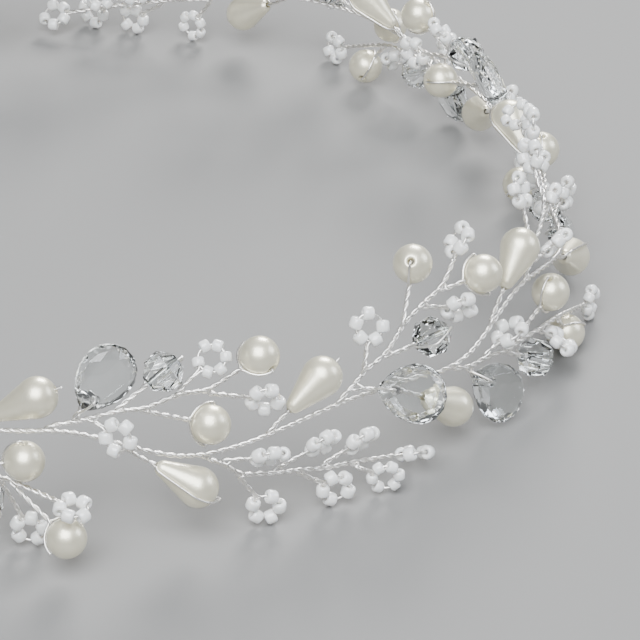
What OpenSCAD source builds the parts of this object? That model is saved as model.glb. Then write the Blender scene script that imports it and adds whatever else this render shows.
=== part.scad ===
// Hair vine: a twisted wire bent round the head, with sprigs of pearls, crystals and seed beads.
// It stands on its lower sprigs as a low wall that leans inwards.
// A place on the wall is given as s, h and q: s is millimetres along the arc from its far right
// point, h is the height above the surface, and q is how far it lies outside the wall.

/* [Vine] */
// Radius of the arc in plan
arc_r = 77.5; // [76:0.5:80]
// Height at which the wall has that radius
arc_h = 15; // [14:0.5:16]
// Millimetres that the wall leans in for each millimetre of height
lean = 0.35; // [0.3:0.05:0.4]
// How far the arc is pushed out at its front right corner
corner_out = 7; // [5:0.5:8]
// Length of stem on each side of the far right point
stem_half = 160; // [156:1:162]
// Height of the stem's near end
near_end_h = 18; // [16:0.5:20]
// Height of the stem's far end
far_end_h = 15; // [14:0.5:17]

/* [Wire] */
// Diameter over the two twisted strands
wire_d = 0.8; // [0.7:0.05:0.8]
// Diameter of the strand that runs through a bead
strand_d = 0.4; // [0.3:0.05:0.5]
// Radius of the loop at each end of the stem, to the middle of the wire
loop_r = 2.2; // [2:0.1:2.6]

/* [Beads] */
// Diameter of a round pearl
pearl_d = 6.2; // [5.8:0.1:6.2]
// Diameter of the hole in a pearl
pearl_hole_d = 1; // [0.8:0.1:1.2]
// Length of a drop pearl
drop_len = 10.6; // [9.8:0.1:10.6]
// Diameter of a drop pearl at its fat end
drop_d = 6.4; // [5.8:0.1:6.4]
// Diameter of a drop pearl at its narrow end
drop_tip_d = 2.6; // [2.2:0.1:2.8]
// Diameter of a faceted round crystal
round_d = 6.2; // [5.8:0.1:6.2]
// Length of a faceted round crystal along its hole
round_len = 5.8; // [5.4:0.1:5.8]
// Width of a flat pear crystal
pear_w = 9.4; // [8.8:0.1:9.4]
// Length of a flat pear crystal
pear_len = 11.2; // [10.4:0.1:11.2]
// Thickness of a flat pear crystal
pear_t = 4; // [3.6:0.1:4.4]
// Diameter of the hole in a flat pear crystal
pear_hole_d = 1.6; // [1.2:0.1:1.8]
// Diameter of a seed bead
seed_d = 2.4; // [2.1:0.05:2.4]
// Radius of a ring of seed beads, to the middle of the beads
ring_r = 2.1; // [2:0.05:2.1]

/* [Hidden] */
// Angle and width, in degrees, of the pushed out corner
corner_at = -18;
corner_w = 16;
// Gap between a stalk's end and its bead
gap = 0.2;
// Diameter of the nub that a strand ends in, how far into it it is that thick, and its length
nub_d = 1;
nub_on = 0.3;
nub_len = 0.8;
// Half the length of wire that a fork takes up
fork_half = 0.4;
// A branch's first section lies this far out from the middle of its wire, and this far on
fork_out = 0.85;
fork_on = 0.35;
// Degrees that an end loop turns through, and its sections
loop_turn = 290;
loop_sections = 12;
// A round crystal's sides, and its belt's and its flats' share of its length and diameter
round_sides = 8;
round_belt = 0.4;
round_flat = 0.4;
// A pear crystal's points on each row, how much its outline narrows, and its hole's distance from
// its narrow end
pear_sides = 16;
pear_taper = 0.4;
pear_hole_at = 2.4;
// Height of a ring of seed beads that stands on the surface
foot_h = ring_r + seed_d / 2;
// Middle of the vine's outline in plan, which becomes the origin
middle = [25.1, -1, 0];

// Sprigs in their order along the stem. Columns: s and h of the fork, 1 for up or -1 for down,
// pattern, and s of the fork of the drop pearl before it
vine = [
    [-143, 19.5, -1, "steep", -155.5],
    [-120, 19.8, 1, "low", -132],
    [-96.5, 14, -1, "seeds", -108],
    [-73.5, 15.6, 1, "tall", -86],
    [-51, 13, -1, "bend", -63],
    [-33, 19, 1, "seeds", -42],
    [-9, 14, -1, "level", -20],
    [16, 16, 1, "arch", 4],
    [41, 13.5, -1, "level", 29],
    [68, 16, 1, "tall", 55],
    [96, 14, -1, "seeds", 85],
    [119, 16, 1, "arch", 108]
];

// Spines of the patterns. Columns: distance along the arc and away from the stem, from the fork
low_spine = [[4, 1.2], [6.6, 1.7], [11, 2.3], [15, 2.4], [20.5, 3.6], [25, 3.6], [29.5, 5]];
tall_spine = [[2.9, 1.7], [5.6, 3], [10.3, 4.3], [15.1, 7], [19.6, 8.5], [24.1, 9.7], [27.3, 12.1]];
level_spine = [[2.6, 1.4], [6, 1.5], [10.5, 2.1], [13.6, 2], [18, 2.3], [23, 3.2]];
steep_spine = [[3, 1.8], [7.5, 3.6], [12, 5.2], [15.7, 6.6], [18, 7.4]];
seeds_spine = [[2.4, 2], [5, 4], [8, 4.7], [10.8, 5.3], [14.3, 5.9], [18.4, 6.9], [23.2, 7.7], [27, 8.6]];

// Beads of the patterns. Columns: kind, spine point that carries it, distance along the arc and
// away from the stem, q, and its turn round its own stalk. The last bead is at the spine's end.
// A foot is a ring of seed beads that stands on the surface where its sprig points down
low_beads = [
    ["pear", 0, 8.8, 6.9, -0.6, 15],
    ["ring", 1, 10.2, 0.1, 2.9, 15],
    ["round", 2, 18.2, 7.2, 0, 0],
    ["pearl", 3, 25.1, -2.4, -1.3, 80],
    ["ring", 4, 26.3, 7.9, 0, -30],
    ["ring", 5, 33.8, 0.6, 0.8, 35],
    ["pearl", 6, 34.4, 6.3, -0.4, 40]
];
// An arch is low with the beads on the stem's side moved off it, where the stem falls away slowly
arch_beads = [
    ["pear", 0, 8.3, 7, 0, 0],
    ["ring", 1, 10.2, 0.4, 3.3, 15],
    ["round", 2, 18.2, 7.2, 0, 0],
    ["pearl", 3, 25.1, -1.2, -4, 30],
    ["ring", 4, 26.3, 7.9, 0, -30],
    ["ring", 5, 33.6, 0.8, -3.6, 10],
    ["pearl", 6, 34.6, 7.4, 0.4, -50]
];
tall_beads = [
    ["pear", 0, 10.4, -0.5, 4.1, -10],
    ["ring", 1, 8.3, 9, 0, -35],
    ["round", 2, 18, 4.6, 2, 0],
    ["pearl", 3, 20.2, 14.6, -0.5, -55],
    ["ring", 4, 25.6, 5.9, 1, 50],
    ["pearl", 5, 30.3, 10, 2.4, 70],
    ["ring", 6, 31, 14.2, -1.3, 70]
];
level_beads = [
    ["pear", 0, 6.3, 7.2, 0, 10],
    ["ring", 1, 11, 1, 3.9, 20],
    ["round", 2, 15, 5.9, 0, 0],
    ["pearl", 3, 23.4, 0.2, 3.4, -75],
    ["ring", 4, 20.9, 6.2, 0.5, -40],
    ["pearl", 5, 27.2, 9.3, -2.1, -20],
    ["foot", 5, 36.4, 10, 1.2, 0]
];
// A bend is level with the beads on the stem's side moved in, where the stem rises away
bend_beads = [
    ["pear", 0, 6.3, 7.2, 0, 10],
    ["ring", 1, 10.8, -1, 1, 90],
    ["round", 2, 15, 5.9, 0, 0],
    ["pearl", 3, 23.6, -0.7, -0.4, -75],
    ["ring", 4, 20.9, 6.2, 0.5, -40],
    ["pearl", 5, 27.2, 9.3, -2.1, -20],
    ["foot", 5, 36.4, 10, 1.2, 0]
];
steep_beads = [
    ["pear", 0, 5.2, 8.5, 0, 0],
    ["round", 1, 13.4, 9.2, 1.4, 0],
    ["pearl", 2, 19.3, 3.9, 0.5, 100],
    ["foot", 3, 19.5, 16.4, -3.3, 0],
    ["pearl", 4, 25.2, 13.1, 4.2, 80],
    ["ring", 4, 26.4, 8.1, 5.2, -65]
];
seeds_beads = [
    ["ring", 0, 9.3, 1.7, 1.4, 60],
    ["foot", 1, 8.4, 10.9, -1.4, 0],
    ["ring", 3, 18.8, 3.2, 0, 50],
    ["foot", 4, 19.6, 10.9, -0.4, 50],
    ["ring", 5, 25.5, 5, 0, 50],
    ["foot", 6, 27, 12.4, 1.8, 20],
    ["ring", 7, 33.8, 10.2, 0.5, 80]
];
// A drop pearl has no spine: its stalk leaves the stem itself
drop_up = [8.3, 4.1];
drop_down = [8, 6.2];

patterns = [
    ["low", low_spine, low_beads],
    ["arch", low_spine, arch_beads],
    ["tall", tall_spine, tall_beads],
    ["level", level_spine, level_beads],
    ["bend", level_spine, bend_beads],
    ["steep", steep_spine, steep_beads],
    ["seeds", seeds_spine, seeds_beads]
];

function unit(v) = v / norm(v);
function mix(a, b, t) = a + (b - a) * t;
function ease(t) = t * t * (3 - 2 * t);
function pattern(kind) = patterns[search([kind], patterns)[0]];

function arc_angle(s) = s / arc_r * 180 / PI;
function arc_radius(a) = arc_r + corner_out * exp(-pow((a - corner_at) / corner_w, 2));
function wall(s, h, q = 0) =
    let (a = arc_angle(s), r = arc_radius(a) + q - lean * (h - arc_h))
    [r * cos(a), r * sin(a), h];
function outward(p) = unit([p.x / norm([p.x, p.y]), p.y / norm([p.x, p.y]), lean]);

// The stem rises and falls gently from fork to fork
stem_line = concat(
    [[-stem_half, near_end_h]],
    [for (v = vine) [v[0], v[1]]],
    [[stem_half, far_end_h]]
);
function stem_height(s, i = 0) =
    s > stem_line[i + 1][0] && i < len(stem_line) - 2
        ? stem_height(s, i + 1)
        : let (a = stem_line[i], b = stem_line[i + 1])
          mix(a[1], b[1], ease((s - a[0]) / (b[0] - a[0])));
function stem_point(s) = wall(s, stem_height(s));

// Points of one sprig's spine, from its fork
function spine_points(v) = concat(
    [stem_point(v[0])],
    [for (p = pattern(v[3])[1]) wall(v[0] + p[0], v[1] + v[2] * p[1])]
);
// Which way a line of points runs at one of them
function run(points, i) = unit(points[min(i + 1, len(points) - 1)] - points[max(i - 1, 0)]);

// The wire is one skin. It is made of tubes with six sides, and each branch grows out of an
// opening two sides wide in the tube that carries it. A section is its middle, the way the tube
// runs, and two axes across it
sides = 6;
side_turn = 360 / sides;
function carry(points, y, i = 0) =
    i >= len(points)
        ? []
        : let (along = run(points, i), v = unit(y - (y * along) * along))
          concat([[points[i], along, cross(v, along), v]], carry(points, v, i + 1));
function corner(section, d, a) = section[0] + d / 2 * (cos(a) * section[2] + sin(a) * section[3]);

// Opening towards a point: its first side, and the way that it faces
function opening(section, first_a, target) =
    let (
        w = target - section[0],
        side = (round((atan2(w * section[3], w * section[2]) - first_a) / side_turn) + sides - 1) % sides,
        a = first_a + side_turn * (side + 1)
    )
    [side, cos(a) * section[2] + sin(a) * section[3]];

// A root is where a branch grows out of a tube: its side, its first section's middle, and the way
// that lies across both tubes
function root(sections, at, first_a, target) =
    let (
        s = sections[at],
        m = (s[0] + sections[at + 1][0]) / 2,
        along = unit(sections[at + 1][0] - s[0]),
        o = opening([m, along, s[2], s[3]], first_a, target)
    )
    [o[0], m + fork_out * o[1] + fork_on * along, cross(along, o[1])];

// A tube: sections, diameters, angle of its first corner, and parent tube, section and side
stem_a = 0;
branch_a = -150;
function branch(parent, at, r, points, diameters) =
    let (p = concat([r[1]], points))
    [carry(p, cross(run(p, 0), r[2])), concat([wire_d], diameters), branch_a, [parent, at, r[0]]];

// Half the length of a bead along its stalk
function half(kind) = kind == "drop" ? drop_len / 2
    : kind == "round" ? round_len / 2
    : kind == "pear" ? pear_len / 2
    : kind == "pearl" ? pearl_d / 2
    : ring_r + seed_d / 2;
// Points and diameters of the rest of a stalk with axis z. Through a drop pearl or a round
// crystal it runs on as one strand, with a nub behind the bead
function threaded(kind) = kind == "drop" || kind == "round";
function stalk_points(kind, c, z) =
    let (end = c - (half(kind) + gap) * z, back = c + (half(kind) + gap) * z)
    threaded(kind)
        ? [end, end + gap * z, back, back + nub_on * z, back + nub_len * z]
        : [end];
function stalk_diameters(kind) =
    threaded(kind) ? [wire_d, strand_d, strand_d, nub_d, nub_d / 2] : [wire_d];

// Distances along the stem at which it has sections: two at each fork and two between forks
forks = [for (v = vine) each [v[4], v[0]]];
stops = concat([-stem_half], forks, [stem_half]);
stem_s = [for (i = [0:len(stops) - 2])
    let (a = i == 0 ? stops[0] : stops[i] + fork_half, b = stops[i + 1] - fork_half)
    each [a, mix(a, b, 1 / 3), mix(a, b, 2 / 3), b]];
function stem_section(fork) = loop_sections + 4 * fork + 3;
// The loop at an end of the stem turns upwards and back over it
function end_loop(p, along) =
    let (up = unit(cross(cross(along, [0, 0, 1]), along)), c = p + loop_r * up)
    [for (i = [1:loop_sections]) let (a = loop_turn * i / loop_sections)
        c + loop_r * (sin(a) * along - cos(a) * up)];
stem_points = [for (s = stem_s) stem_point(s)];
stem_last = len(stem_points) - 1;
near_loop = end_loop(stem_points[0], -run(stem_points, 0));
far_loop = end_loop(stem_points[stem_last], run(stem_points, stem_last));
looped_stem = concat([for (i = [loop_sections - 1:-1:0]) near_loop[i]], stem_points, far_loop);
stem = [carry(looped_stem, outward(near_loop[0])), [for (p = looped_stem) wire_d], stem_a, undef];

// One sprig: its tubes, its beads and its drop pearl. A bead as placed is its kind, its middle,
// the axis of its stalk, its turn, and if it stands on the surface
function sprig(n, first_tube) =
    let (
        v = vine[n],
        p = spine_points(v),
        rows = pattern(v[3])[2],
        ends = [for (b = rows) bead_middle(v, b)],
        last = len(rows) - 1,
        joints = [for (i = [1:len(p) - 1]) each
            [p[i] - fork_half * run(p, i), p[i] + fork_half * run(p, i)]],
        last_z = unit(ends[last] - joints[len(joints) - 1]),
        spine = branch(0, stem_section(2 * n + 1), root(stem[0], stem_section(2 * n + 1), stem_a, p[1]),
            concat(joints, stalk_points(rows[last][0], ends[last], last_z)),
            concat([for (q = joints) wire_d], stalk_diameters(rows[last][0]))),
        roots = [for (i = [0:last - 1]) root(spine[0], 1 + 2 * rows[i][1], branch_a, ends[i])],
        z = concat([for (i = [0:last - 1]) unit(ends[i] - roots[i][1])], [last_z]),
        drop = drop_middle(v),
        drop_root = root(stem[0], stem_section(2 * n), stem_a, drop),
        drop_z = unit(drop - drop_root[1])
    )
    [
        concat(
            [spine],
            [for (i = [0:last - 1]) branch(first_tube, 1 + 2 * rows[i][1], roots[i],
                stalk_points(rows[i][0], ends[i], z[i]), stalk_diameters(rows[i][0]))],
            [branch(0, stem_section(2 * n), drop_root,
                stalk_points("drop", drop, drop_z), stalk_diameters("drop"))]
        ),
        [for (i = [0:last]) [rows[i][0] == "foot" ? "ring" : rows[i][0], ends[i], z[i],
            rows[i][5], stands(v, rows[i])]],
        ["drop", drop, drop_z, 0, false]
    ];
function stands(v, b) = b[0] == "foot" && v[2] < 0;
function bead_middle(v, b) =
    wall(v[0] + b[2], stands(v, b) ? foot_h : v[1] + v[2] * b[3], b[4]);
// An upward drop pearl's height is taken from the stem below its middle, a downward one's from
// the stem at its fork
function drop_middle(v) =
    let (off = v[2] > 0 ? drop_up : drop_down)
    wall(v[4] + off[0], stem_height(v[4] + (v[2] > 0 ? off[0] : 0)) + v[2] * off[1]);
first_tubes = [for (n = 0, t = 1; n < len(vine); t = t + len(pattern(vine[n][3])[2]) + 1, n = n + 1) t];
sprigs = [for (n = [0:len(vine) - 1]) sprig(n, first_tubes[n])];
tubes = concat([stem], [for (s = sprigs) each s[0]]);
first_point = [for (i = 0, n = 0; i < len(tubes); n = n + sides * len(tubes[i][0]), i = i + 1) n];

function tube_points(t) = [for (i = [0:len(t[0]) - 1]) for (k = [0:sides - 1])
    corner(t[0][i], t[1][i], t[2] + side_turn * k) - middle];
// Skin between the outline of an opening and a branch's first section
function band(a, b) = [for (k = [0:sides - 1])
    let (n = (k + 1) % sides) each k < sides / 2
        ? [[a[k], b[k], b[n]], [a[k], b[n], a[n]]]
        : [[a[k], b[k], a[n]], [b[k], b[n], a[n]]]];
function ring_of(n) = [for (k = [0:sides - 1]) n + k];
function is_open(i, k, openings) =
    len([for (o = openings) if (o[1] == i && (o[2] == k || (o[2] + 1) % sides == k)) 1]) > 0;
function tube_faces(index) =
    let (
        t = tubes[index],
        n = first_point[index],
        openings = [for (c = tubes) if (c[3] != undef && c[3][0] == index) c[3]],
        last = n + sides * (len(t[0]) - 1),
        from = t[3]
    )
    concat(
        [for (i = [0:len(t[0]) - 2]) for (k = [0:sides - 1])
            let (a = n + i * sides, b = a + sides, m = (k + 1) % sides)
            if (!is_open(i, k, openings)) each [[a + k, b + k, b + m], [a + k, b + m, a + m]]],
        from == undef
            ? [ring_of(n)]
            : let (
                a = first_point[from[0]] + from[1] * sides,
                c = [for (j = [0:2]) (from[2] + j) % sides],
                base = [a + c[0], a + c[1], a + c[2], a + sides + c[2], a + sides + c[1], a + sides + c[0]]
            ) band(base, ring_of(n)),
        [[for (k = [sides - 1:-1:0]) last + k]]
    );

function beads_of(s, kind) = [for (b = s[1]) if (b[0] == kind) b];
drops = [for (s = sprigs) s[2]];
pears = [for (s = sprigs) each beads_of(s, "pear")];
rounds = [for (s = sprigs) each beads_of(s, "round")];
pearls = [for (s = sprigs) let (p = beads_of(s, "pearl")) if (len(p) > 0) p];
rings = [for (s = sprigs) beads_of(s, "ring")];

// Axes of a bead: its stalk runs along z, and y is the way that it faces. A ring that stands on
// the surface is upright
function bead_y(b) =
    b[4]
        ? unit(cross(b[2], [0, 0, 1]))
        : let (n = outward(b[1]), w = unit(n - (n * b[2]) * b[2]))
          cos(b[3]) * w + sin(b[3]) * cross(b[2], w);
function bead_axes(b) =
    let (y = bead_y(b), z = unit(b[2] - (b[2] * y) * y))
    [cross(y, z), y, z];

$fn = 48;

module at_bead(b) {
    m = bead_axes(b);
    c = b[1] - middle;
    multmatrix([
        [m[0].x, m[1].x, m[2].x, c.x],
        [m[0].y, m[1].y, m[2].y, c.y],
        [m[0].z, m[1].z, m[2].z, c.z]
    ]) children();
}

// Closed skin over sections that all have the same number of points
module skin(sections) {
    n = len(sections[0]);
    last = (len(sections) - 1) * n;
    polyhedron(
        points = [for (r = sections) each r],
        faces = concat(
            [[for (k = [0:n - 1]) k]],
            [for (i = [0:n:last - n]) for (k = [0:n - 1])
                let (a = i + k, b = i + (k + 1) % n) each [[a, a + n, b + n], [a, b + n, b]]],
            [[for (k = [n - 1:-1:0]) last + k]]
        )
    );
}

module twisted_wire() {
    color("silver") polyhedron(
        points = [for (t = tubes) each tube_points(t)],
        faces = [for (i = [0:len(tubes) - 1]) each tube_faces(i)]
    );
}

// Drop pearl: a round fat end and a small round tip joined by a straight cone, drilled end to end
module drop_pearl(i) {
    fat_r = drop_d / 2;
    tip_r = drop_tip_d / 2;
    fat_z = drop_len / 2 - fat_r;
    tip_z = tip_r - drop_len / 2;
    // The cone touches both balls where their outlines have this angle
    touch = asin((fat_r - tip_r) / (fat_z - tip_z));
    color("ivory") at_bead(drops[i]) difference() {
        rotate_extrude() polygon(concat(
            [for (a = [-90:15:-touch - 1]) [tip_r * cos(a), tip_z + tip_r * sin(a)]],
            [[tip_r * cos(touch), tip_z - tip_r * sin(touch)]],
            [for (a = [-touch:(90 + touch) / 10:90.1]) [max(0, fat_r * cos(a)), fat_z + fat_r * sin(a)]]
        ));
        cylinder(d = pearl_hole_d, h = drop_len + 1, center = true);
    }
}

module round_pearl(b) {
    at_bead(b) difference() {
        sphere(d = pearl_d);
        rotate([90, 0, 0]) cylinder(d = pearl_hole_d, h = pearl_d + 1, center = true);
    }
}
module pearl_pair(i) {
    color("ivory") for (b = pearls[i]) round_pearl(b);
}

// Round crystal: a belt of triangles and a flat at each end of its hole
function round_row(r, z, shift) = [for (k = [0:round_sides - 1])
    let (a = 360 / round_sides * (k + shift)) [r * cos(a), r * sin(a), z]];
module round_crystal(i) {
    r = round_d / 2;
    belt_z = round_belt * round_len / 2;
    color("lightcyan") at_bead(rounds[i]) difference() {
        skin([
            round_row(round_flat * r, -round_len / 2, 0),
            round_row(r, -belt_z, 0),
            round_row(r, belt_z, 0.5),
            round_row(round_flat * r, round_len / 2, 0.5)
        ]);
        cylinder(d = pearl_hole_d, h = round_len + 1, center = true);
    }
}

// Rows of a pear crystal's points, from one table to the other. Columns: share of its outline,
// share of its thickness, and steps that the points are shifted by
pear_rows = [
    [0.68, -0.5, 0],
    [0.88, -0.28, 0.5],
    [1, -0.06, 0],
    [1, 0.06, 0],
    [0.88, 0.28, 0.5],
    [0.68, 0.5, 0]
];
function pear_half(t) = sin(t) * pow(abs(sin(t / 2)), pear_taper);
pear_widest = max([for (t = [0:180]) pear_half(t)]);
function pear_row(r) = [for (k = [pear_sides - 1:-1:0])
    let (t = 360 / pear_sides * (k + r[2]))
    [r[0] * pear_w / 2 * pear_half(t) / pear_widest, r[1] * pear_t, -r[0] * pear_len / 2 * cos(t)]];
module pear_crystal(i) {
    color("lightcyan") at_bead(pears[i]) difference() {
        skin([for (r = pear_rows) pear_row(r)]);
        translate([0, 0, pear_hole_at - pear_len / 2])
            rotate([90, 0, 0]) cylinder(d = pear_hole_d, h = pear_t + 1, center = true);
    }
}

// Ring of seed beads, as the round tube that the beads fill
module seed_ring(b) {
    at_bead(b) rotate([90, 0, 0]) rotate_extrude() translate([ring_r, 0]) circle(d = seed_d);
}
module seed_flowers(i) {
    color("white") for (b = rings[i]) seed_ring(b);
}

twisted_wire();
for (i = [1:len(drops)])
    drop_pearl(i - 1);
for (i = [1:len(pears)])
    pear_crystal(i - 1);
for (i = [1:len(rounds)])
    round_crystal(i - 1);
for (i = [1:len(pearls)])
    pearl_pair(i - 1);
for (i = [1:len(rings)])
    seed_flowers(i - 1);
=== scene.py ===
import math
import random
import bmesh
import bpy
from mathutils import Matrix, Vector


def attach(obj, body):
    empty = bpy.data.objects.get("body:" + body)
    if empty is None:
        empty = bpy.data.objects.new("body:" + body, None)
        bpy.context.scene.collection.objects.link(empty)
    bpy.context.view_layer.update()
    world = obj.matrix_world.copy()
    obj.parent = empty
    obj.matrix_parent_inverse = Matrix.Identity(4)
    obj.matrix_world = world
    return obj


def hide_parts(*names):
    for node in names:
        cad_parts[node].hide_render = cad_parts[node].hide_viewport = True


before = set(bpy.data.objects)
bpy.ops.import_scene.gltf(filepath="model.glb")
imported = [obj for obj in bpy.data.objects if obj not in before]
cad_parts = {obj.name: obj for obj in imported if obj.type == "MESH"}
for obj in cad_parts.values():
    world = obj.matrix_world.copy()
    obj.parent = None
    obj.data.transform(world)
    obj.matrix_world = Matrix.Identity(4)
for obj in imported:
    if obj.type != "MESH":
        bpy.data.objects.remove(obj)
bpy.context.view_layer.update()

mm = 0.001
print("hair vine: frame loaded")


# the wall that the vine follows: s runs along its arc, h is height, q lies outside it, in millimetres
band = {
    "arcRadius": 77.5,
    "atHeight": 15,  # where the radius holds: above it the wall leans inwards
    "lean": 0.35,
    "cornerOut": 7,  # a bulge at the corner nearest the viewer
    "cornerAt": -18,  # degrees, as its width is
    "cornerWidth": 16,
    "stemHalf": 160,
    "endHeights": (18, 15),
    "middle": (25.1, -1, 0),  # of the whole, which the frame puts at its origin
}
beadSizes = {
    "pearl": 6.2,
    "dropLength": 10.6,
    "dropFat": 6.4,
    "dropTip": 2.6,
    "round": 6.2,
    "roundLength": 5.8,
    "pearWidth": 9.4,
    "pearLength": 11.2,
    "pearThick": 4,
    "seed": 2.4,
    "ring": 2.1,  # radius of the ring that a flower's seed beads are threaded on
    "hole": 1,
    "pearHole": 1.6,
}
wireSizes = {
    "gap": 0.2,  # between a stalk's end and its bead
    "forkHalf": 0.4,  # of the length that a fork takes
    "forkOut": 0.85,  # a branch's first point, off its parent's middle and on along it
    "forkOn": 0.35,
    "loop": 2.2,
    "loopTurn": 290,
    "loopSections": 12,
    "sides": 6,  # of the solids' wire, which a branch leaves over one of its corners
    "stemCorner": 0,  # degrees of the first corner, on the stem and on a branch
    "branchCorner": -150,
}

# fork, its height, up or down, pattern of the sprig, fork of the drop pearl before it
vine = [
    (-143, 19.5, -1, "steep", -155.5),
    (-120, 19.8, 1, "low", -132),
    (-96.5, 14, -1, "seeds", -108),
    (-73.5, 15.6, 1, "tall", -86),
    (-51, 13, -1, "bend", -63),
    (-33, 19, 1, "seeds", -42),
    (-9, 14, -1, "level", -20),
    (16, 16, 1, "arch", 4),
    (41, 13.5, -1, "level", 29),
    (68, 16, 1, "tall", 55),
    (96, 14, -1, "seeds", 85),
    (119, 16, 1, "arch", 108),
]
levelSpine = [(2.6, 1.4), (6, 1.5), (10.5, 2.1), (13.6, 2), (18, 2.3), (23, 3.2)]
lowSpine = [(4, 1.2), (6.6, 1.7), (11, 2.3), (15, 2.4), (20.5, 3.6), (25, 3.6), (29.5, 5)]
spines = {
    "low": lowSpine,
    "arch": lowSpine,
    "tall": [(2.9, 1.7), (5.6, 3), (10.3, 4.3), (15.1, 7), (19.6, 8.5), (24.1, 9.7), (27.3, 12.1)],
    "level": levelSpine,
    "bend": levelSpine,
    "steep": [(3, 1.8), (7.5, 3.6), (12, 5.2), (15.7, 6.6), (18, 7.4)],
    "seeds": [(2.4, 2), (5, 4), (8, 4.7), (10.8, 5.3), (14.3, 5.9), (18.4, 6.9), (23.2, 7.7), (27, 8.6)],
}
# kind, spine point, distance along and away from the stem, q, turn
beads = {
    "low": [
        ("pear", 0, 8.8, 6.9, -0.6, 15),
        ("ring", 1, 10.2, 0.1, 2.9, 15),
        ("round", 2, 18.2, 7.2, 0, 0),
        ("pearl", 3, 25.1, -2.4, -1.3, 80),
        ("ring", 4, 26.3, 7.9, 0, -30),
        ("ring", 5, 33.8, 0.6, 0.8, 35),
        ("pearl", 6, 34.4, 6.3, -0.4, 40),
    ],
    "arch": [
        ("pear", 0, 8.3, 7, 0, 0),
        ("ring", 1, 10.2, 0.4, 3.3, 15),
        ("round", 2, 18.2, 7.2, 0, 0),
        ("pearl", 3, 25.1, -1.2, -4, 30),
        ("ring", 4, 26.3, 7.9, 0, -30),
        ("ring", 5, 33.6, 0.8, -3.6, 10),
        ("pearl", 6, 34.6, 7.4, 0.4, -50),
    ],
    "tall": [
        ("pear", 0, 10.4, -0.5, 4.1, -10),
        ("ring", 1, 8.3, 9, 0, -35),
        ("round", 2, 18, 4.6, 2, 0),
        ("pearl", 3, 20.2, 14.6, -0.5, -55),
        ("ring", 4, 25.6, 5.9, 1, 50),
        ("pearl", 5, 30.3, 10, 2.4, 70),
        ("ring", 6, 31, 14.2, -1.3, 70),
    ],
    "level": [
        ("pear", 0, 6.3, 7.2, 0, 10),
        ("ring", 1, 11, 1, 3.9, 20),
        ("round", 2, 15, 5.9, 0, 0),
        ("pearl", 3, 23.4, 0.2, 3.4, -75),
        ("ring", 4, 20.9, 6.2, 0.5, -40),
        ("pearl", 5, 27.2, 9.3, -2.1, -20),
        ("foot", 5, 36.4, 10, 1.2, 0),
    ],
    "bend": [
        ("pear", 0, 6.3, 7.2, 0, 10),
        ("ring", 1, 10.8, -1, 1, 90),
        ("round", 2, 15, 5.9, 0, 0),
        ("pearl", 3, 23.6, -0.7, -0.4, -75),
        ("ring", 4, 20.9, 6.2, 0.5, -40),
        ("pearl", 5, 27.2, 9.3, -2.1, -20),
        ("foot", 5, 36.4, 10, 1.2, 0),
    ],
    "steep": [
        ("pear", 0, 5.2, 8.5, 0, 0),
        ("round", 1, 13.4, 9.2, 1.4, 0),
        ("pearl", 2, 19.3, 3.9, 0.5, 100),
        ("foot", 3, 19.5, 16.4, -3.3, 0),
        ("pearl", 4, 25.2, 13.1, 4.2, 80),
        ("ring", 4, 26.4, 8.1, 5.2, -65),
    ],
    "seeds": [
        ("ring", 0, 9.3, 1.7, 1.4, 60),
        ("foot", 1, 8.4, 10.9, -1.4, 0),
        ("ring", 3, 18.8, 3.2, 0, 50),
        ("foot", 4, 19.6, 10.9, -0.4, 50),
        ("ring", 5, 25.5, 5, 0, 50),
        ("foot", 6, 27, 12.4, 1.8, 20),
        ("ring", 7, 33.8, 10.2, 0.5, 80),
    ],
}
dropOffsets = {1: (8.3, 4.1), -1: (8, 6.2)}  # a drop pearl along and away from its fork, up and down
middle = Vector(band["middle"])
upright = Vector((0, 0, 1))
footHeight = beadSizes["ring"] + beadSizes["seed"] / 2


def blendBetween(a, b, t):
    return a + (b - a) * t


def wallPoint(s, h, q=0.0):
    degrees = math.degrees(s / band["arcRadius"])
    bulge = band["cornerOut"] * math.exp(-(((degrees - band["cornerAt"]) / band["cornerWidth"]) ** 2))
    r = band["arcRadius"] + bulge + q - band["lean"] * (h - band["atHeight"])
    return Vector((r * math.cos(math.radians(degrees)), r * math.sin(math.radians(degrees)), h))


def outwardAt(point):
    flat = math.hypot(point.x, point.y)
    return Vector((point.x / flat, point.y / flat, band["lean"])).normalized()


def stemHeight(s):
    ends = band["endHeights"]
    line = [(-band["stemHalf"], ends[0])] + [row[:2] for row in vine] + [(band["stemHalf"], ends[1])]
    i = 0
    while s > line[i + 1][0] and i < len(line) - 2:
        i += 1
    t = (s - line[i][0]) / (line[i + 1][0] - line[i][0])
    return blendBetween(line[i][1], line[i + 1][1], t * t * (3 - 2 * t))


def stemPoint(s):
    return wallPoint(s, stemHeight(s))


def runAt(points, i):
    return (points[min(i + 1, len(points) - 1)] - points[max(i - 1, 0)]).normalized()


def carryFrames(points, y):  # each frame is a point, the way on and two ways across, without twist
    frames = []
    for i, point in enumerate(points):
        along = runAt(points, i)
        y = (y - y.dot(along) * along).normalized()
        frames.append((point, along, y.cross(along), y))
    return frames


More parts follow.
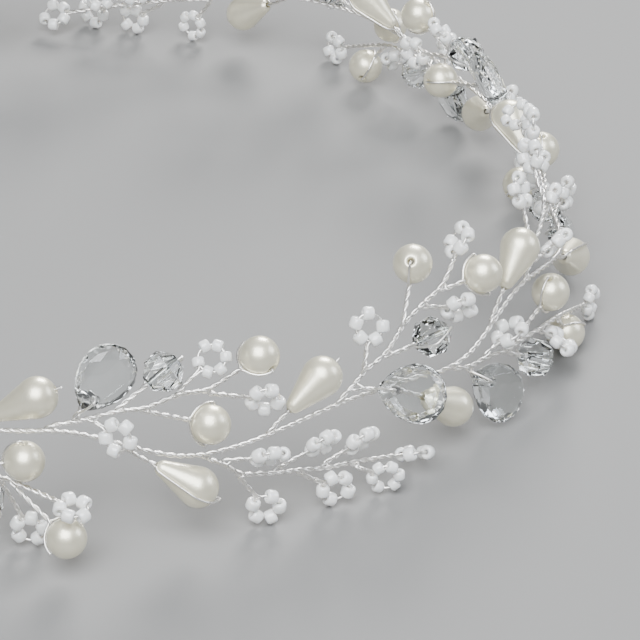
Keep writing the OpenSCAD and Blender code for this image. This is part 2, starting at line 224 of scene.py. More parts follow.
def rootOf(frames, at, firstAngle, target):  # where a branch leaves the wire that carries it
    centre = (frames[at][0] + frames[at + 1][0]) / 2
    along = (frames[at + 1][0] - frames[at][0]).normalized()
    x, y = frames[at][2], frames[at][3]
    toTarget = target - centre
    sides, sideTurn = wireSizes["sides"], 360 / wireSizes["sides"]
    turned = (math.degrees(math.atan2(toTarget.dot(y), toTarget.dot(x))) - firstAngle) / sideTurn
    side = (math.floor(abs(turned) + 0.5) * (1 if turned > 0 else -1) + sides - 1) % sides
    angle = math.radians(firstAngle + sideTurn * (side + 1))
    out = math.cos(angle) * x + math.sin(angle) * y
    root = centre + wireSizes["forkOut"] * out + wireSizes["forkOn"] * along
    return {"point": root, "centre": centre, "along": along, "across": along.cross(out)}


def halfLength(kind):  # from a bead's centre to the end where its stalk comes in
    return {
        "drop": beadSizes["dropLength"] / 2,
        "round": beadSizes["roundLength"] / 2,
        "pear": beadSizes["pearLength"] / 2,
        "pearl": beadSizes["pearl"] / 2,
    }.get(kind, footHeight)


def beadFacing(bead):
    z = bead["z"]
    if bead["stands"]:
        return z.cross(upright).normalized()
    n = outwardAt(bead["centre"])
    w = (n - n.dot(z) * z).normalized()
    turn = math.radians(bead["turn"])
    return math.cos(turn) * w + math.sin(turn) * z.cross(w)


def placeBead(kind, centre, z, turn=0, stands=False):  # z runs on from the stalk, y faces outwards
    bead = {"kind": kind, "centre": centre, "z": z, "turn": turn, "stands": stands}
    bead["y"] = beadFacing(bead)
    bead["z"] = (z - z.dot(bead["y"]) * bead["y"]).normalized()
    return bead


def beadMatrix(bead):
    y, z = bead["y"], bead["z"]
    x = y.cross(z)
    turned = Matrix((x, y, z)).transposed().to_4x4()
    return Matrix.Scale(mm, 4) @ Matrix.Translation(bead["centre"] - middle) @ turned


# the whole vine: every wire's route, and every bead with the sprig that it is on
forkHalf = wireSizes["forkHalf"]
forks = [s for row in vine for s in (row[4], row[0])]
stops = [-band["stemHalf"]] + forks + [band["stemHalf"]]
stemStations = []
for i in range(len(stops) - 1):
    a = stops[0] if i == 0 else stops[i] + forkHalf
    b = stops[i + 1] - forkHalf
    stemStations += [a, blendBetween(a, b, 1 / 3), blendBetween(a, b, 2 / 3), b]
stemPoints = [stemPoint(s) for s in stemStations]


def endLoop(point, along):
    up = along.cross(upright).cross(along).normalized()
    centre = point + wireSizes["loop"] * up
    sections = wireSizes["loopSections"]
    turns = [math.radians(wireSizes["loopTurn"]) * i / sections for i in range(1, sections + 1)]
    return [centre + wireSizes["loop"] * (math.sin(a) * along - math.cos(a) * up) for a in turns]


nearLoop = endLoop(stemPoints[0], -runAt(stemPoints, 0))
farLoop = endLoop(stemPoints[-1], runAt(stemPoints, len(stemPoints) - 1))
stemRoute = nearLoop[::-1] + stemPoints + farLoop
stemFrames = carryFrames(stemRoute, outwardAt(nearLoop[0]))


def stemSection(fork):  # the section of the stem's frames just before a fork
    return wireSizes["loopSections"] + 4 * fork + 3


wires = [{"points": stemRoute, "fork": None}]
placed = []

for n, (s, h, side, pattern, dropFork) in enumerate(vine):
    spine = [stemPoint(s)] + [wallPoint(s + p[0], h + side * p[1]) for p in spines[pattern]]
    rows = beads[pattern]
    stands = [row[0] == "foot" and side < 0 for row in rows]
    centres = [wallPoint(s + row[2], footHeight if stood else h + side * row[3], row[4])
               for row, stood in zip(rows, stands)]
    joints = [spine[i] + way * forkHalf * runAt(spine, i) for i in range(1, len(spine)) for way in (-1, 1)]
    start = rootOf(stemFrames, stemSection(2 * n + 1), wireSizes["stemCorner"], spine[1])
    spineRoute = [start["point"]] + joints
    spineFrames = carryFrames(spineRoute, runAt(spineRoute, 0).cross(start["across"]))
    lastAxis = (centres[-1] - joints[-1]).normalized()
    sprigBeads = []
    for row, centre, stood in list(zip(rows, centres, stands))[:-1]:
        leaves = rootOf(spineFrames, 1 + 2 * row[1], wireSizes["branchCorner"], centre)
        axis = (centre - leaves["point"]).normalized()
        kind = "ring" if row[0] == "foot" else row[0]
        sprigBeads.append(placeBead(kind, centre, axis, row[5], stood))
        end = centre - (halfLength(kind) + wireSizes["gap"]) * axis
        wires.append({"points": [leaves["centre"], leaves["point"], end], "fork": leaves["along"]})
    kind = "ring" if rows[-1][0] == "foot" else rows[-1][0]
    sprigBeads.append(placeBead(kind, centres[-1], lastAxis, rows[-1][5], stands[-1]))
    end = centres[-1] - (halfLength(kind) + wireSizes["gap"]) * lastAxis
    wires.append({"points": [start["centre"], start["point"]] + spine[1:] + [end], "fork": start["along"]})
    along, away = dropOffsets[side]
    drop = wallPoint(dropFork + along, stemHeight(dropFork + (along if side > 0 else 0)) + side * away)
    leaves = rootOf(stemFrames, stemSection(2 * n), wireSizes["stemCorner"], drop)
    axis = (drop - leaves["point"]).normalized()
    end = drop - (halfLength("drop") + wireSizes["gap"]) * axis
    wires.append({"points": [leaves["centre"], leaves["point"], end], "fork": leaves["along"]})
    placed.append({"drop": [placeBead("drop", drop, axis)], "beads": sprigBeads})


def beadsOf(sprig, kind):
    return [bead for bead in sprig["beads"] if bead["kind"] == kind]


print("hair vine: routes and", sum(len(sprig["beads"]) + 1 for sprig in placed), "bead places worked out")


def toLinear(hexColour):
    parts = [int(hexColour[i:i + 2], 16) / 255 for i in (1, 3, 5)]
    return [c / 12.92 if c <= 0.04045 else ((c + 0.055) / 1.055) ** 2.4 for c in parts] + [1]


def addNode(material, kind, settings=None, inputs=None):
    tree = material.node_tree
    node = tree.nodes.new(kind)
    for name, value in (settings or {}).items():
        setattr(node, name, value)
    for name, value in (inputs or {}).items():
        if isinstance(value, bpy.types.NodeSocket):
            tree.links.new(value, node.inputs[name])
        else:
            node.inputs[name].default_value = value
    return node


def newMaterial(name):
    material = bpy.data.materials.new(name)
    material.use_nodes = True
    material.node_tree.nodes.clear()
    return material


# silver plated craft wire, drawn and soft: a pale satin shine that shows each turn of the twist
wireFinish = {
    "colour": "#f6f3ee",
    "smooth": 0.25,
    "rough": 0.38,
    "drawMarks": 0.3,  # mm, coarser than the real ones so that they show
    "markDepth": 0.02,
}


def silverPlatedWire():
    material = newMaterial("silverPlatedWire")
    where = addNode(material, "ShaderNodeTexCoord")
    marks = addNode(material, "ShaderNodeTexNoise", inputs={
        "Vector": where.outputs["Object"], "Scale": 1000 / wireFinish["drawMarks"], "Detail": 3})
    rough = addNode(material, "ShaderNodeMapRange", inputs={
        "Value": marks.outputs["Fac"], "From Min": 0.3, "From Max": 0.7,
        "To Min": wireFinish["smooth"], "To Max": wireFinish["rough"]})
    bump = addNode(material, "ShaderNodeBump", inputs={
        "Height": marks.outputs["Fac"], "Strength": 0.15, "Distance": wireFinish["markDepth"] * mm})
    metal = addNode(material, "ShaderNodeBsdfPrincipled", inputs={
        "Base Color": toLinear(wireFinish["colour"]), "Metallic": 1,
        "Roughness": rough.outputs["Result"], "Normal": bump.outputs["Normal"]})
    addNode(material, "ShaderNodeOutputMaterial", inputs={"Surface": metal.outputs["BSDF"]})
    return material


# imitation pearl, glass dipped in nacre lacquer: a deep soft glow under a clear wet gloss
pearlFinish = {
    "ivory": "#f6f0d9",
    "cream": "#e7e1c6",
    "edge": "#b9bda4",
    "nacre": 0.6,
    "rough": 0.38,
    "gloss": 0.9,
    "cloud": 2.2,  # mm across a patch of one tint
    "dimple": 0.35,
    "dimpleDepth": 0.06,
}


def pearlLacquer():
    material = newMaterial("pearlLacquer")
    where = addNode(material, "ShaderNodeTexCoord")
    clouds = addNode(material, "ShaderNodeTexNoise", inputs={
        "Vector": where.outputs["Object"], "Scale": 1000 / pearlFinish["cloud"], "Detail": 2})
    tint = addNode(material, "ShaderNodeMix", {"data_type": "RGBA"}, {
        "Factor": clouds.outputs["Fac"],
        6: toLinear(pearlFinish["ivory"]), 7: toLinear(pearlFinish["cream"])})
    dimples = addNode(material, "ShaderNodeTexNoise", inputs={
        "Vector": where.outputs["Object"], "Scale": 1000 / pearlFinish["dimple"], "Detail": 2})
    bump = addNode(material, "ShaderNodeBump", inputs={
        "Height": dimples.outputs["Fac"], "Strength": 0.3, "Distance": pearlFinish["dimpleDepth"] * mm})
    nacre = addNode(material, "ShaderNodeBsdfPrincipled", inputs={
        "Base Color": tint.outputs[2], "Metallic": pearlFinish["nacre"], "Roughness": pearlFinish["rough"],
        "Subsurface Weight": 0.1, "Subsurface Radius": (0.001, 0.001, 0.0008), "Subsurface Scale": 1,
        "Coat Weight": pearlFinish["gloss"], "Coat Roughness": 0.1, "Coat IOR": 1.5,
        "Sheen Weight": 0.1, "Sheen Roughness": 0.35, "Sheen Tint": toLinear(pearlFinish["edge"]),
        "Normal": bump.outputs["Normal"]})
    addNode(material, "ShaderNodeOutputMaterial", inputs={"Surface": nacre.outputs["BSDF"]})
    return material


# clear lead crystal, cut and fire polished: sharp facet lines with a few faint polishing marks
crystalFinish = {
    "clear": "#f8fbfb",
    "ior": 1.56,
    "polish": 0.15,  # mm, coarser than the real marks so that they show
    "dullest": 0.05,
}


def cutCrystal():
    material = newMaterial("cutCrystal")
    where = addNode(material, "ShaderNodeTexCoord")
    polish = addNode(material, "ShaderNodeTexNoise", inputs={
        "Vector": where.outputs["Object"], "Scale": 1000 / crystalFinish["polish"], "Detail": 2})
    rough = addNode(material, "ShaderNodeMapRange", inputs={
        "Value": polish.outputs["Fac"], "From Min": 0.45, "From Max": 0.8,
        "To Min": 0.0, "To Max": crystalFinish["dullest"]})
    glass = addNode(material, "ShaderNodeBsdfPrincipled", inputs={
        "Base Color": toLinear(crystalFinish["clear"]), "Roughness": rough.outputs["Result"],
        "IOR": crystalFinish["ior"], "Transmission Weight": 1})
    addNode(material, "ShaderNodeOutputMaterial", inputs={"Surface": glass.outputs["BSDF"]})
    return material


# opaque white glass seed beads, drawn and tumbled, with a lustre: milky with small bright highlights
seedFinish = {
    "milk": "#fafaf8",
    "shade": "#ecebe7",
    "rough": 0.22,
    "lustre": 1,
    "patch": 1.4,  # mm across a patch of one tint
    "orangePeel": 0.25,
    "peelDepth": 0.03,
}


def seedBeadGlass():
    material = newMaterial("seedBeadGlass")
    where = addNode(material, "ShaderNodeTexCoord")
    patches = addNode(material, "ShaderNodeTexNoise", inputs={
        "Vector": where.outputs["Object"], "Scale": 1000 / seedFinish["patch"], "Detail": 2})
    tint = addNode(material, "ShaderNodeMix", {"data_type": "RGBA"}, {
        "Factor": patches.outputs["Fac"], 6: toLinear(seedFinish["milk"]), 7: toLinear(seedFinish["shade"])})
    peel = addNode(material, "ShaderNodeTexNoise", inputs={
        "Vector": where.outputs["Object"], "Scale": 1000 / seedFinish["orangePeel"], "Detail": 2})
    bump = addNode(material, "ShaderNodeBump", inputs={
        "Height": peel.outputs["Fac"], "Strength": 0.15, "Distance": seedFinish["peelDepth"] * mm})
    glass = addNode(material, "ShaderNodeBsdfPrincipled", inputs={
        "Base Color": tint.outputs[2], "Roughness": seedFinish["rough"], "IOR": 1.52,
        "Subsurface Weight": 0.2, "Subsurface Radius": (0.0008, 0.0007, 0.0006), "Subsurface Scale": 1,
        "Coat Weight": seedFinish["lustre"], "Coat Roughness": 0.05, "Normal": bump.outputs["Normal"]})
    addNode(material, "ShaderNodeOutputMaterial", inputs={"Surface": glass.outputs["BSDF"]})
    return material


finishes = {
    "silver_wire": silverPlatedWire(),
    "pearl": pearlLacquer(),
    "crystal": cutCrystal(),
    "seed_bead": seedBeadGlass(),
}
print("hair vine:", len(finishes), "materials made")


def addPiece(name, mesh, slot, nodes=(), smooth=True):
    mesh.name = name
    mesh.materials.clear()
    mesh.materials.append(finishes[slot])
    for face in mesh.polygons:
        face.use_smooth = smooth
    piece = bpy.data.objects.new(name, mesh)
    bpy.context.scene.collection.objects.link(piece)
    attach(piece, "root")
    if nodes:
        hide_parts(*nodes)
    return piece


def meshFrom(shape, name="pattern"):
    mesh = bpy.data.meshes.new(name)
    shape.to_mesh(mesh)
    shape.free()
    return mesh


def joinCopies(pattern, places):
    joined = bmesh.new()
    for place in places:
        before = len(joined.verts)
        joined.from_mesh(pattern)
        joined.verts.ensure_lookup_table()
        bmesh.ops.transform(joined, matrix=place, verts=joined.verts[before:])
    return meshFrom(joined)


def spinProfile(profile, steps):  # a closed outline of (radius, height) turned about z
    shape = bmesh.new()
    verts = [shape.verts.new((r, 0, z)) for r, z in profile]
    edges = [shape.edges.new((verts[i], verts[(i + 1) % len(verts)])) for i in range(len(verts))]
    bmesh.ops.spin(shape, geom=verts + edges, cent=(0, 0, 0), axis=(0, 0, 1), dvec=(0, 0, 0),
                   angle=2 * math.pi, steps=steps, use_merge=True, use_duplicate=False)
    bmesh.ops.recalc_face_normals(shape, faces=shape.faces)
    return meshFrom(shape)


# two strands twisted together along each route
twist = {
    "strandRadius": 0.2,
    "offset": 0.203,  # of each strand from the middle of the two
    "pitch": 3.3,
    "uneven": 0.35,  # radians that the turn runs ahead or behind, and how fast that changes
    "swayRate": 0.7,
    "startTurn": 2.4,  # radians that each wire's twist starts after the one before
    "eye": 0.75,  # half the opening at a fork, and the length in which it closes
    "eyeLength": 1.5,
    "step": 0.35,
}


def smoothRoute(points, step):  # a smooth curve that passes through every point
    route = []
    for i in range(len(points) - 1):
        a, b, c, d = points[max(i - 1, 0)], points[i], points[i + 1], points[min(i + 2, len(points) - 1)]
        pieces = max(1, round((c - b).length / step))
        for k in range(pieces):
            t = k / pieces
            route.append(0.5 * (2 * b + (c - a) * t + (2 * a - 5 * b + 4 * c - d) * t ** 2
                                + (3 * b - a - 3 * c + d) * t ** 3))
    return route + [points[-1]]


def twistedStrands(points, phase, fork):  # at a fork the strands part round a small eye
    frames = carryFrames(smoothRoute(points, twist["step"]), outwardAt(points[0]))
    strands = ([], [])
    length = 0
    for i, (point, along, x, y) in enumerate(frames):
        length += (point - frames[i - 1][0]).length if i else 0
        sway = twist["uneven"] * math.sin(twist["swayRate"] * length + phase)
        turn = phase + 2 * math.pi * length / twist["pitch"] + sway
        reach = twist["offset"] * (math.cos(turn) * x + math.sin(turn) * y)
        if fork and length < twist["eyeLength"]:
            part = 1 - length / twist["eyeLength"]
            way = 1 if reach.dot(fork) > 0 else -1
            reach = blendBetween(reach, way * twist["eye"] * fork, part)
        strands[0].append(point + reach)
        strands[1].append(point - reach)
    return strands


def strandMesh(routes, radius, roundness=2):
    curve = bpy.data.curves.new("strands", "CURVE")
    curve.dimensions = "3D"
    curve.bevel_depth = radius * mm
    curve.bevel_resolution = roundness
    curve.use_fill_caps = True
    for route, closed in routes:
        spline = curve.splines.new("POLY")
        spline.points.add(len(route) - 1)
        for point, place in zip(spline.points, route):
            point.co = (*((place - middle) * mm), 1)
        spline.use_cyclic_u = closed
    holder = bpy.data.objects.new("strands", curve)
    mesh = bpy.data.meshes.new_from_object(holder)
    bpy.data.objects.remove(holder)
    bpy.data.curves.remove(curve)
    return mesh


wireStrands = []
for i, wire in enumerate(wires):
    laid = twistedStrands(wire["points"], i * twist["startTurn"], wire["fork"])
    wireStrands += [(strand, False) for strand in laid]
addPiece("twistedWire", strandMesh(wireStrands, twist["strandRadius"]), "silver_wire", ["twisted_wire"])
print("hair vine:", len(wires), "twisted wires laid")


# bare strands that hold each bead, in the bead's own x (across), y (outwards), z (away from its stalk)
bareStrand = {
    "radius": 0.19,
    "clear": 0.22,  # from a bead's face to the middle of the strand that lies on it
    "clearPearl": 0.24,
    "stalkSide": 0.12,  # of each strand from the middle, at the stalk's end
    "ringPoints": 24,
}


def aroundPearl():
    r = beadSizes["pearl"] / 2 + bareStrand["clearPearl"]
    side = [(0, bareStrand["stalkSide"], -r - 0.35), (0, 0.5, -r - 0.06)]
    side += [(0, r * math.sin(a), -r * math.cos(a)) for a in (0.45, 0.75, 1.05, 1.32)]
    side += [(0, r + 0.02, -0.12), (0, r - 0.35, 0)]
    back = [(x, -y, z) for x, y, z in side[::-1]]
    return [(side + [(0, 0, 0)] + back, False)]


def alongDrop(turn):
    fat, tip = beadSizes["dropFat"] / 2 + bareStrand["clear"], beadSizes["dropTip"] / 2 + bareStrand["clear"]
    half = beadSizes["dropLength"] / 2
    centre = half - beadSizes["dropFat"] / 2
    outline = [(0, half + 0.75), (0.5, half + 0.6)]
    outline += [(fat * math.sin(a), centre + fat * math.cos(a)) for a in (0.4, 0.75, 1.15, 1.55, 1.85)]
    outline += [(tip + 0.12, -half + 1), (0.75, -half - 0.05), (bareStrand["stalkSide"], -half - 0.7)]
    outside = [(r * math.sin(turn), r * math.cos(turn), z) for r, z in outline]
    bore = [(0, 0, -half - 0.7), (0, 0, -half), (0, 0, 0), (0, 0, half), (0, 0, half + 0.75)]
    return [(outside, False), (bore, False)]


def acrossRound(turn):
    r, half = beadSizes["round"] / 2 + bareStrand["clear"], beadSizes["roundLength"] / 2
    outline = [(0, half + 0.7), (0.5, half + 0.62), (1.25, half + 0.2), (r - 0.2, 1.25), (r, 0)]
    outline += [(r - 0.2, -1.25), (1.25, -half - 0.15), (bareStrand["stalkSide"], -half - 0.7)]
    outside = [(r * math.sin(turn + 0.12 * z), r * math.cos(turn + 0.12 * z), z) for r, z in outline]
    bore = [(0, 0, -half - 0.7), (0, 0, 0), (0, 0, half + 0.7)]
    return [(outside, False), (bore, False)]


def throughPear():
    half = beadSizes["pearLength"] / 2
    side = [(0, bareStrand["stalkSide"], -half - 0.75), (0, 0.75, -half - 0.15), (0, 1.45, -half + 0.65)]
    side += [(0, 2.15, -half + 1.6), (0, 2.2, -half + 2.1), (0, 1.6, -half + 2.4), (0, 0.5, -half + 2.4)]
    back = [(x, -y, z) for x, y, z in side[::-1]]
    return [(side + back, False)]


def roundRing():
    r = beadSizes["ring"]
    turns = [2 * math.pi * k / bareStrand["ringPoints"] for k in range(bareStrand["ringPoints"])]
    circle = [(r * math.sin(a), 0, -r * math.cos(a)) for a in turns]
    lead = [(bareStrand["stalkSide"], -footHeight - 0.6), (0.2, -r - 0.5), (0.5, -r)]
    leads = [[(way * x, 0, z) for x, z in lead] for way in (-1, 1)]
    return [(circle, True)] + [(lead, False) for lead in leads]


def inPlace(bead, route):
    x = bead["y"].cross(bead["z"])
    return [bead["centre"] + px * x + py * bead["y"] + pz * bead["z"] for px, py, pz in route]


# where a strand runs back outside each drop pearl or round crystal, in radians round it: 0 is in front
backStrand = {
    "drop": [0.3, 3.3, -0.33, 3.6, 3, -2.2, 0.5, 2.7, -0.4, 3, 0.6, 2.9],
    "round": [0.4, 3.4, 0.1, 2.9, -0.3, 2.7, 0.3, 2.9, 0.2],
}
bareStrands = []
backTurns = {kind: iter(turns) for kind, turns in backStrand.items()}
for sprig in placed:
    for bead in sprig["drop"] + sprig["beads"]:
        turn = next(backTurns[bead["kind"]]) if bead["kind"] in backTurns else 0
        routes = {
            "pearl": aroundPearl(),
            "drop": alongDrop(turn),
            "round": acrossRound(turn),
            "pear": throughPear(),
            "ring": roundRing(),
        }[bead["kind"]]
        for route, closed in routes:
            points = inPlace(bead, route)
            bareStrands.append((points if closed else smoothRoute(points, twist["step"]), closed))
addPiece("beadStrands", strandMesh(bareStrands, bareStrand["radius"], 1), "silver_wire")
print("hair vine: every bead wired on")


# a bead's bore runs along z in its pattern, and this lays it along the bead's own y
boreAlongY = Matrix.Rotation(-math.pi / 2, 4, "X")

pearlShape = {
    "rim": 0.24,  # the dimple round each end of the hole: its width and depth
    "dip": 0.2,
    "rings": 28,
    "sides": 48,
}


def boredBall():
    r, hole = beadSizes["pearl"] / 2, beadSizes["hole"] / 2
    first = math.asin((hole + pearlShape["rim"]) / r)
    rings = pearlShape["rings"]
    turns = [first + (math.pi - 2 * first) * k / rings for k in range(rings + 1)]
    profile = [(r * math.sin(a), -r * math.cos(a)) for a in turns]
    lip = r * math.cos(first) - pearlShape["dip"]
    return spinProfile(profile + [(hole, lip), (hole, -lip)], pearlShape["sides"])


pearlPattern = boredBall()
for i, sprig in enumerate([sprig for sprig in placed if beadsOf(sprig, "pearl")]):
    pearls = joinCopies(pearlPattern, [beadMatrix(bead) @ boreAlongY for bead in beadsOf(sprig, "pearl")])
    addPiece("pearlPair" + str(i + 1), pearls, "pearl", ["pearl_pair_" + str(i + 1)])

dropShape = {
    "holeInset": 0.3,
    "lip": 0.06,
    "firstTurn": 0.045,  # share of the half turn that is left open at each end for the hole
    "rings": 36,
    "sides": 48,
}


def boredDrop():  # a teardrop between the two balls of its solid
    fat, tip, hole = beadSizes["dropFat"] / 2, beadSizes["dropTip"] / 2, beadSizes["hole"] / 2
    half = beadSizes["dropLength"] / 2
    rings, firstTurn = dropShape["rings"], dropShape["firstTurn"]
    outline = []
    for k in range(rings + 1):
        z = half * math.cos(math.pi * (firstTurn + (1 - 2 * firstTurn) * k / rings))
        ball = math.sqrt(max(0, fat ** 2 - (z - half + fat) ** 2))
        tipBall = math.sqrt(max(0, tip ** 2 - (z + half - tip) ** 2))
        lean = math.asin((fat - tip) / (2 * half - fat - tip))
        topTouch, lowTouch = half - fat - fat * math.sin(lean), tip - half - tip * math.sin(lean)
        t = (z - lowTouch) / (topTouch - lowTouch)
        r = ball if z > topTouch else tipBall if z < lowTouch else math.cos(lean) * blendBetween(tip, fat, t)
        outline.append((max(r, hole + dropShape["lip"]), z))
    inset = half - dropShape["holeInset"]
    return spinProfile(outline + [(hole, -inset), (hole, inset)], dropShape["sides"])


dropPattern = boredDrop()
for i, sprig in enumerate(placed):
    drop = joinCopies(dropPattern, [beadMatrix(sprig["drop"][0])])
    addPiece("dropPearl" + str(i + 1), drop, "pearl", ["drop_pearl_" + str(i + 1)])
print("hair vine: pearls and drop pearls strung")


# cut stones: rows of points on facets, closed by their hull and drilled
stoneCut = {
    "flatWithin": 0.02,  # radians: facets that lie closer than this are one
    "facetBevel": 0.05,
    "drillSides": 20,
    "drillPast": 1,
}


def stoneFrom(rows, hole, drillPlace, thick):
    stone = bmesh.new()
    for x, y, z in rows:
        stone.verts.new((x, y, z))
    hull = bmesh.ops.convex_hull(stone, input=stone.verts)
    bmesh.ops.delete(stone, geom=list(set(hull["geom_interior"] + hull["geom_unused"])), context="VERTS")
    bmesh.ops.dissolve_limit(stone, angle_limit=stoneCut["flatWithin"], verts=stone.verts, edges=stone.edges)
    bmesh.ops.bevel(stone, geom=stone.edges, offset=stoneCut["facetBevel"], offset_type="OFFSET",
                    segments=1, profile=0.5, affect="EDGES", material=-1)
    bmesh.ops.recalc_face_normals(stone, faces=stone.faces)
    drill = bmesh.new()
    bmesh.ops.create_cone(drill, cap_ends=True, segments=stoneCut["drillSides"], radius1=hole / 2,
                          radius2=hole / 2, depth=thick + 2 * stoneCut["drillPast"], matrix=drillPlace)
    body = bpy.data.objects.new("stone", meshFrom(stone))
    tool = bpy.data.objects.new("drill", meshFrom(drill))
    for thing in (body, tool):
        bpy.context.scene.collection.objects.link(thing)
    cut = body.modifiers.new("bore", "BOOLEAN")
    cut.operation, cut.solver, cut.object = "DIFFERENCE", "EXACT", tool
    bpy.context.view_layer.update()
    mesh = bpy.data.meshes.new_from_object(body.evaluated_get(bpy.context.evaluated_depsgraph_get()))
    for thing in (body, tool):
        bpy.data.objects.remove(thing)
    return mesh


roundCut = {"sides": 8, "flat": 0.4, "belt": 0.4}  # the flat's share of the width, the belt's of the length
pearCut = {
    "taper": 0.4,
    "holeAt": 2.4,
    # share of the outline, height in thicknesses, points, and the part of a step that they are turned on by
    "rows": [(0.34, 0.5, 8, 0.25), (0.7, 0.46, 8, 0.75), (0.88, 0.28, 16, 0.5), (1, 0.06, 16, 0)],
}


def roundStone():
    half, r = beadSizes["roundLength"] / 2, beadSizes["round"] / 2
    belt, flat = roundCut["belt"] * half, roundCut["flat"] * r
    rows = []
    for radius, z, shift in ((flat, -half, 0), (r, -belt, 0), (r, belt, 0.5), (flat, half, 0.5)):
        for k in range(roundCut["sides"]):
            a = 2 * math.pi * (k + shift) / roundCut["sides"]
            rows.append((radius * math.cos(a), radius * math.sin(a), z))
    return stoneFrom(rows, beadSizes["hole"], Matrix.Identity(4), 2 * half)


def pearOutline(t):
    return math.sin(t) * abs(math.sin(t / 2)) ** pearCut["taper"]


def pearStone():
    half, w = beadSizes["pearLength"] / 2, beadSizes["pearWidth"] / 2
    widest = max(pearOutline(math.pi * k / 180) for k in range(181))
    rows = []
    for scale, level, points, shift in pearCut["rows"]:
        for k in range(points):
            t = 2 * math.pi * (k + shift) / points
            x = w * pearOutline(t) / widest
            for way in (-1, 1):
                rows.append((scale * x, way * level * beadSizes["pearThick"], -scale * half * math.cos(t)))
    drill = Matrix.Translation((0, 0, -half + pearCut["holeAt"])) @ Matrix.Rotation(math.pi / 2, 4, "X")
    return stoneFrom(rows, beadSizes["pearHole"], drill, beadSizes["pearThick"])


roundPattern, pearPattern = roundStone(), pearStone()
for kind, pattern, name, node in (("round", roundPattern, "roundCrystal", "round_crystal_"),
                                  ("pear", pearPattern, "pearCrystal", "pear_crystal_")):
    for i, sprig in enumerate([sprig for sprig in placed if beadsOf(sprig, kind)]):
        stones = joinCopies(pattern, [beadMatrix(bead) for bead in beadsOf(sprig, kind)])
        addPiece(name + str(i + 1), stones, "crystal", [node + str(i + 1)], smooth=False)
print("hair vine: crystals cut and set")


# flowers of seed beads, pushed together on their rings with the slack left in one place
flower = {
    "beads": 5,
    "pitch": 67,  # degrees of the ring that one bead takes
    "moreEvery": 7,  # flowers from one with more beads to the next, and the first of them
    "moreFirst": 4,
    "more": 6,
    "morePitch": 57,
    "moreSize": 0.86,
    "slackAfter": (3, 2, 3, 1, 2, 3, 0, 2, 3, 2, 4, 1),  # beads before the slack, flower by flower
    "halfLength": 0.96,
    "slim": 0.04,
    "hole": 0.42,
    "shoulder": (0.74, 1.02, 0.14, 0.42),  # radii of the end's flat and edge, depths of the edge and side
    "sides": 12,
    "uneven": 0.08,
    "wobble": 0.2,  # millimetres off the ring, and radians of tilt
    "slip": 1.5,  # degrees along the ring
    "askew": 0.1,  # radians
    "chance": 11,
}


def seedPattern():
    r, half = beadSizes["seed"] / 2 - flower["slim"], flower["halfLength"]
    flat, edge, dip, side = flower["shoulder"]
    end = [(flower["hole"], half - dip), (flat, half), (edge, half - dip), (r, half - side)]
    return spinProfile([(x, -z) for x, z in end] + end[::-1], flower["sides"])


seed = seedPattern()
chance = random.Random(flower["chance"])
ring, ringNumber = beadSizes["ring"], 0
for i, sprig in enumerate(placed):
    places = []
    for bead in beadsOf(sprig, "ring"):
        ringNumber += 1
        count, pitch, size = flower["beads"], flower["pitch"], 1
        if ringNumber % flower["moreEvery"] == flower["moreFirst"]:
            count, pitch, size = flower["more"], flower["morePitch"], flower["moreSize"]
        before = flower["slackAfter"][(ringNumber - 1) % len(flower["slackAfter"])]
        for k in range(count):
            turn = pitch * (k + 0.5) if k < before else 360 - pitch * (count - k - 0.5)
            a = math.radians(turn + chance.uniform(-flower["slip"], flower["slip"]))
            lift = chance.uniform(-flower["wobble"], flower["wobble"])
            across = Matrix.Translation((ring * math.sin(a), lift, -ring * math.cos(a)))
            askew = chance.uniform(-flower["askew"], flower["askew"])
            lay = Matrix.Rotation(math.pi / 2 - a + askew, 4, "Y")
            tip = Matrix.Rotation(chance.uniform(-flower["wobble"], flower["wobble"]), 4, "X")
            sizes = [size * chance.uniform(1 - flower["uneven"], 1) for axis in range(3)]
            places.append(beadMatrix(bead) @ across @ lay @ tip @ Matrix.Diagonal(sizes + [1]))
    flowers = joinCopies(seed, places)
    addPiece("seedFlowers" + str(i + 1), flowers, "seed_bead", ["seed_flowers_" + str(i + 1)])
print("hair vine:", ringNumber, "flowers of seed beads threaded")


# the pale studio
studio = {
    "floor": "#82817f",
    "floorSize": 3,
    "paperGrain": 1.1,
    "paperRough": 0.75,
    "world": "#f4f6f8",
    "worldStrength": 0.14,
}
camera = {  # its places in the millimetres of the tables above, how near and far it sees in metres
    "lens": 186.6,
    "sensor": 36,
    "at": (42, -475.5, 309.2),
    "aim": (42, -17, 0),
    "near": 0.05,
    "far": 10,
}

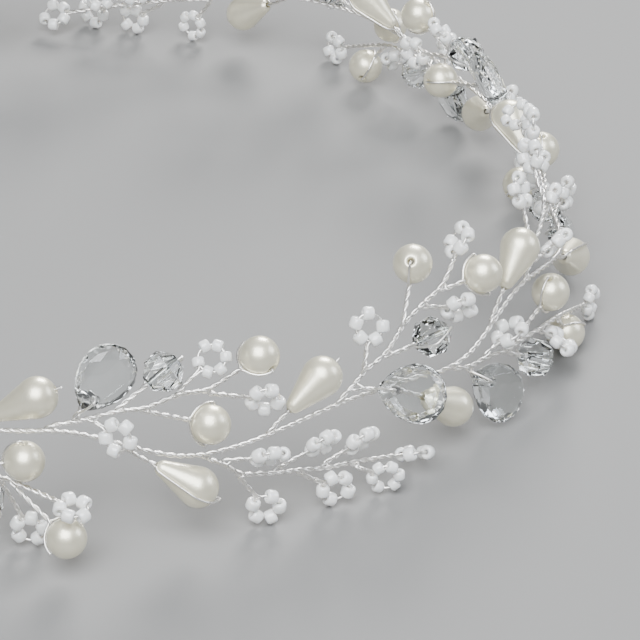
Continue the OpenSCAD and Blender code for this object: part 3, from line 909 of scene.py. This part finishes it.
floorShape = bmesh.new()
bmesh.ops.create_grid(floorShape, x_segments=1, y_segments=1, size=studio["floorSize"] / 2)
floorMesh = meshFrom(floorShape, "studioFloor")
paper = newMaterial("mattPaper")  # matt backdrop paper, rolled: even and softly grained
where = addNode(paper, "ShaderNodeTexCoord")
grain = addNode(paper, "ShaderNodeTexNoise", inputs={
    "Vector": where.outputs["Object"], "Scale": 1000 / studio["paperGrain"], "Detail": 3})
bump = addNode(paper, "ShaderNodeBump", inputs={
    "Height": grain.outputs["Fac"], "Strength": 0.05, "Distance": 0.0001})
sheet = addNode(paper, "ShaderNodeBsdfPrincipled", inputs={
    "Base Color": toLinear(studio["floor"]), "Roughness": studio["paperRough"],
    "Normal": bump.outputs["Normal"]})
addNode(paper, "ShaderNodeOutputMaterial", inputs={"Surface": sheet.outputs["BSDF"]})
floorMesh.materials.append(paper)
floor = bpy.data.objects.new("studioFloor", floorMesh)
bpy.context.scene.collection.objects.link(floor)

lights = {  # place, size across in metres, watts, colour
    "softBox": ((-0.08, -0.6, 0.95), 0.9, 32, "#f6faff"),
    "softFill": ((0.9, 0.1, 0.5), 0.5, 5, "#eef4ff"),
    "backStrip": ((0.2, 0.9, 0.6), 0.4, 16, "#ffffff"),
}
for name, (place, size, watts, colour) in lights.items():
    data = bpy.data.lights.new(name, "AREA")
    data.size, data.energy, data.color = size, watts, toLinear(colour)[:3]
    lamp = bpy.data.objects.new(name, data)
    lamp.location = place
    lamp.rotation_euler = (-Vector(place)).to_track_quat("-Z", "Y").to_euler()
    bpy.context.scene.collection.objects.link(lamp)

world = bpy.data.worlds.new("paleStudio")
world.use_nodes = True
sky = world.node_tree.nodes["Background"]
sky.inputs["Color"].default_value = toLinear(studio["world"])
sky.inputs["Strength"].default_value = studio["worldStrength"]
bpy.context.scene.world = world

lensData = bpy.data.cameras.new("photoCamera")
lensData.lens, lensData.sensor_width = camera["lens"], camera["sensor"]
lensData.clip_start, lensData.clip_end = camera["near"], camera["far"]
photoCamera = bpy.data.objects.new("photoCamera", lensData)
photoCamera.location = (Vector(camera["at"]) - middle) * mm
sight = Vector(camera["aim"]) - Vector(camera["at"])
photoCamera.rotation_euler = sight.to_track_quat("-Z", "Y").to_euler()
bpy.context.scene.collection.objects.link(photoCamera)
bpy.context.scene.camera = photoCamera
print("hair vine: studio, lights and camera set")

print("hair vine: done")
